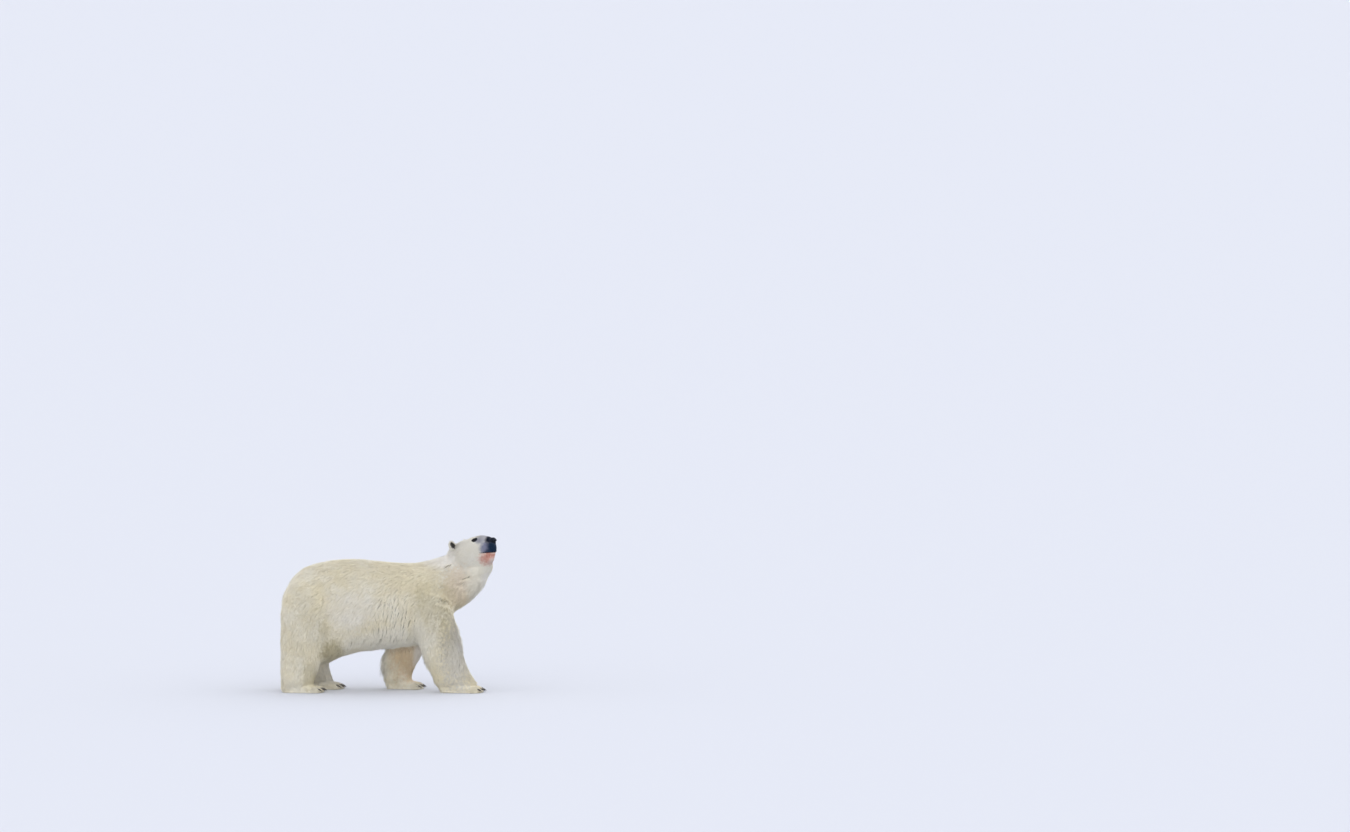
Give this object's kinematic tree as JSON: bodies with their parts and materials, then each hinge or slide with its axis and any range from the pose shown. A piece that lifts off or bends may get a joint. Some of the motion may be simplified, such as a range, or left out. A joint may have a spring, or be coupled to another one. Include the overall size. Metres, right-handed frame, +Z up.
{
  "type": "polar bear",
  "caption": "Life-size still model of a polar bear standing mid-stride with its head raised, for a museum display.",
  "frame": {"origin": "middle of the standing box, on the floor under the bear", "axes": "+X forward from tail to nose, +Y to the bear's left, +Z up"},
  "size_m": [2.0852, 0.666, 1.5025],
  "materials": {
    "fur": "dense creamy white fur",
    "nose": "moist black pebbled skin",
    "eye": "wet dark brown gloss",
    "claw": "dark polished horn"
  },
  "bodies": {
    "root": {"trunk": "fur", "neck": "fur", "tail": "fur", "head": "fur", "lower_jaw": "fur", "ear_right": "fur", "ear_left": "fur", "nose": "nose", "eye_right": "eye", "eye_left": "eye", "foreleg_right_upper": "fur", "foreleg_right_lower": "fur", "foreleg_right_paw": "fur", "foreleg_left_upper": "fur", "foreleg_left_lower": "fur", "foreleg_left_paw": "fur", "hindleg_right_upper": "fur", "hindleg_right_lower": "fur", "hindleg_right_paw": "fur", "hindleg_left_upper": "fur", "hindleg_left_lower": "fur", "hindleg_left_paw": "fur", "claw_foreleg_right_1": "claw", "claw_foreleg_right_2": "claw", "claw_foreleg_right_3": "claw", "claw_foreleg_right_4": "claw", "claw_foreleg_right_5": "claw", "claw_foreleg_left_1": "claw", "claw_foreleg_left_2": "claw", "claw_foreleg_left_3": "claw", "claw_foreleg_left_4": "claw", "claw_foreleg_left_5": "claw", "claw_hindleg_right_1": "claw", "claw_hindleg_right_2": "claw", "claw_hindleg_right_3": "claw", "claw_hindleg_right_4": "claw", "claw_hindleg_right_5": "claw", "claw_hindleg_left_1": "claw", "claw_hindleg_left_2": "claw", "claw_hindleg_left_3": "claw", "claw_hindleg_left_4": "claw", "claw_hindleg_left_5": "claw"}
  },
  "joints": []
}
